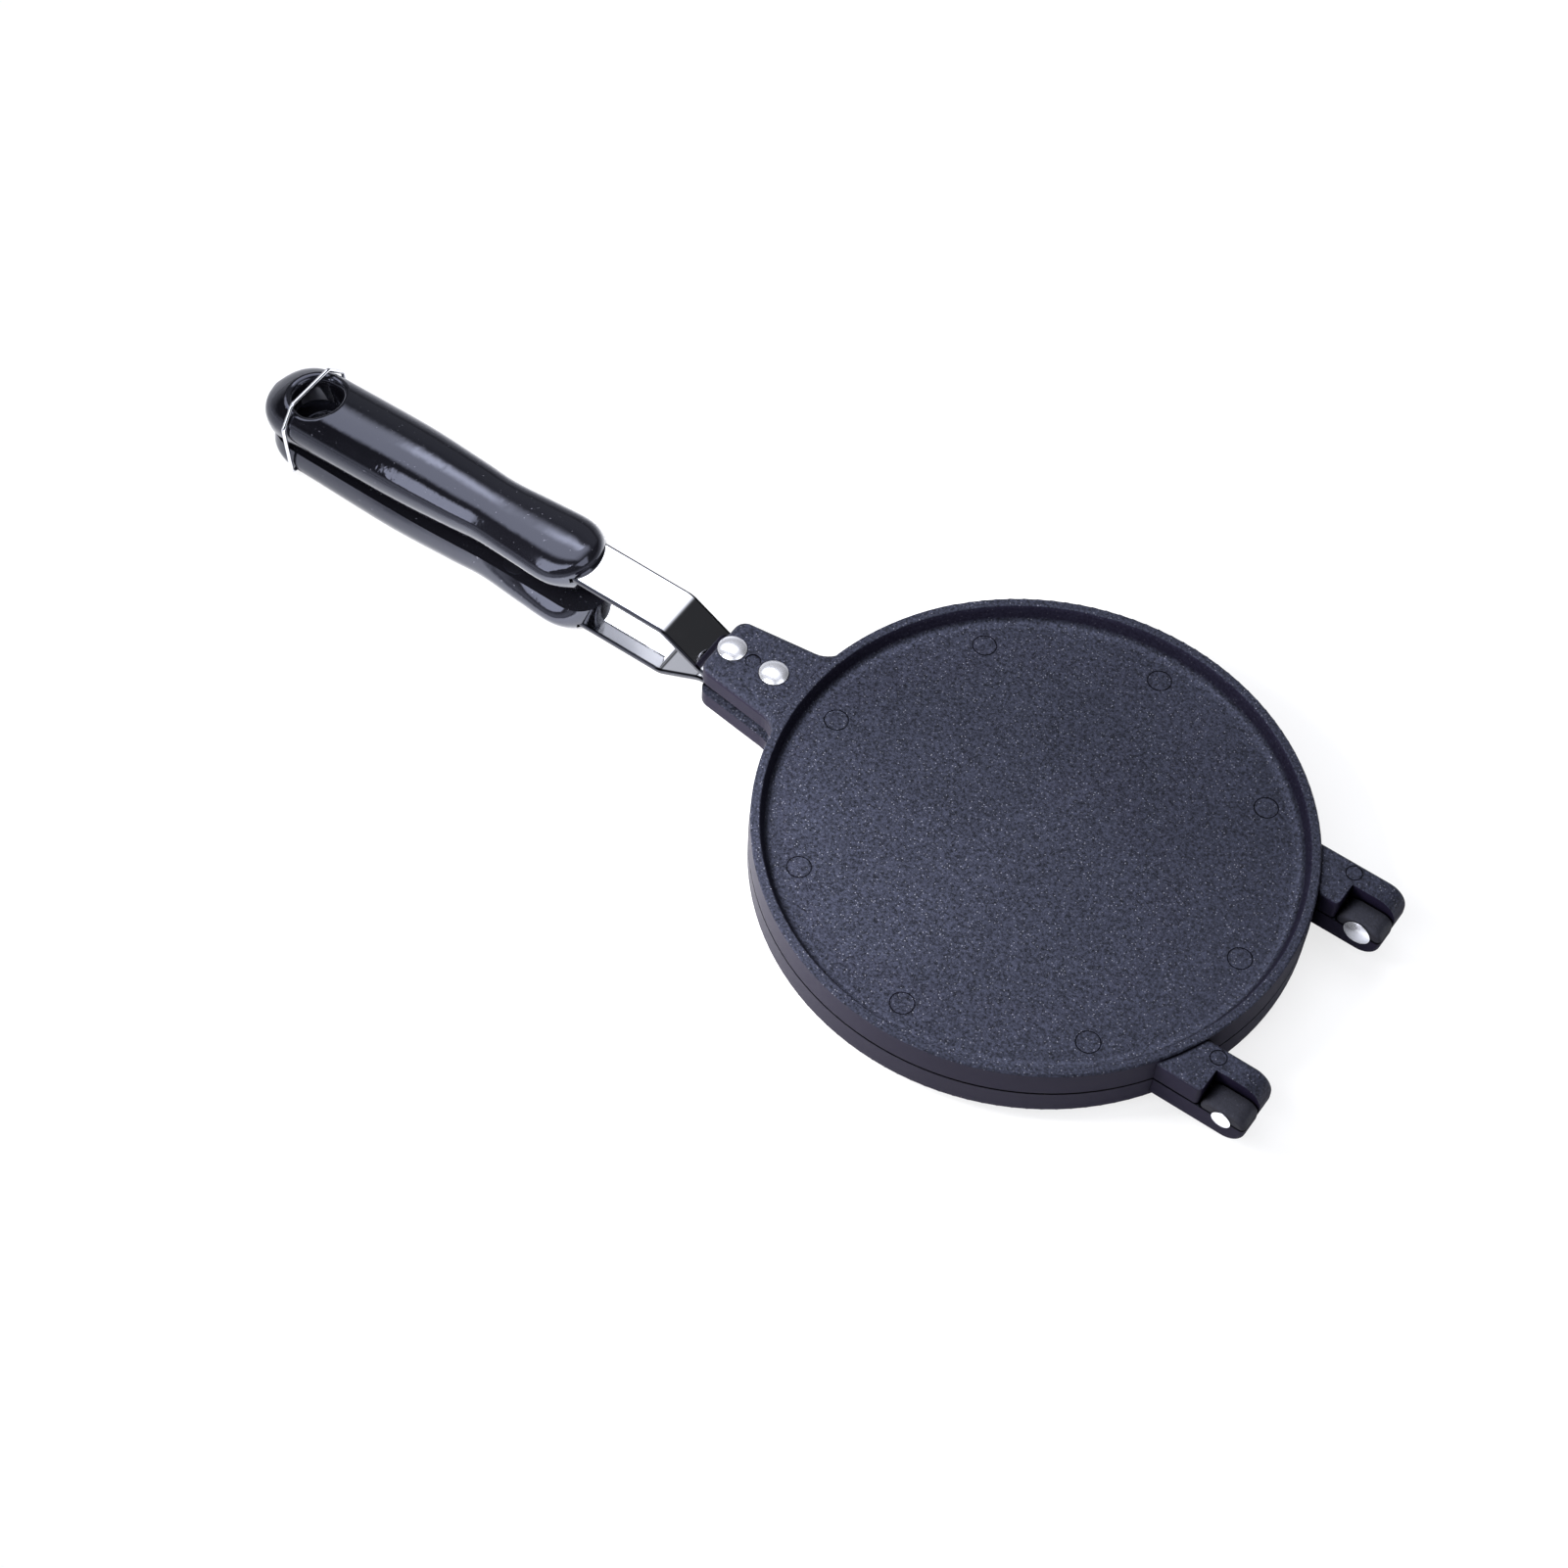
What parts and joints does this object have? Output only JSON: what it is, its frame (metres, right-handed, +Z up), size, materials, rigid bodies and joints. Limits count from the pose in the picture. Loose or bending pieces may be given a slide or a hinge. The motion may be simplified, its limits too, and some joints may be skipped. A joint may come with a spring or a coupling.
{
  "type": "waffle cone iron",
  "caption": "Round hinged waffle cone iron for the stove top: two shallow pans on side lugs, cranked straps, long handles with hanging holes, and a wire bail that latches the handles.",
  "frame": {"origin": "middle of the outline, on the plane through the lowest point of the closed iron", "axes": "+X from the handles to the hinges, +Y across, to the left seen from the handles, +Z up"},
  "size_m": [0.3852, 0.169, 0.0321],
  "materials": {
    "coated_casting": "speckled non-stick coating",
    "chromed_steel": "mirror",
    "bright_aluminium": "bright",
    "black_phenolic": "gloss",
    "zinced_steel": "zinc plated",
    "plated_wire": "bright drawn"
  },
  "bodies": {
    "lower": {"lower_plate": "coated_casting", "lower_strap": "chromed_steel", "lower_outer_rivet": "bright_aluminium", "lower_inner_rivet": "bright_aluminium", "left_hinge_pin": "bright_aluminium", "right_hinge_pin": "bright_aluminium", "lower_handle": "black_phenolic", "lower_handle_screw": "zinced_steel"},
    "upper": {"upper_plate": "coated_casting", "upper_strap": "chromed_steel", "upper_outer_rivet": "bright_aluminium", "upper_inner_rivet": "bright_aluminium", "upper_handle": "black_phenolic", "upper_handle_screw": "zinced_steel"},
    "bail": {"bail_wire": "plated_wire"}
  },
  "joints": [
    {"name": "plate_hinge", "type": "hinge", "parent": "lower", "child": "upper", "pos_m": [0.18515, 0, 0.01595], "axis": [0, 1, 0], "range_deg": [0, 180]},
    {"name": "bail_swing", "type": "hinge", "parent": "lower", "child": "bail", "pos_m": [-0.17525, 0, 0.00665], "axis": [0, -1, 0], "range_deg": [0, 240]}
  ]
}
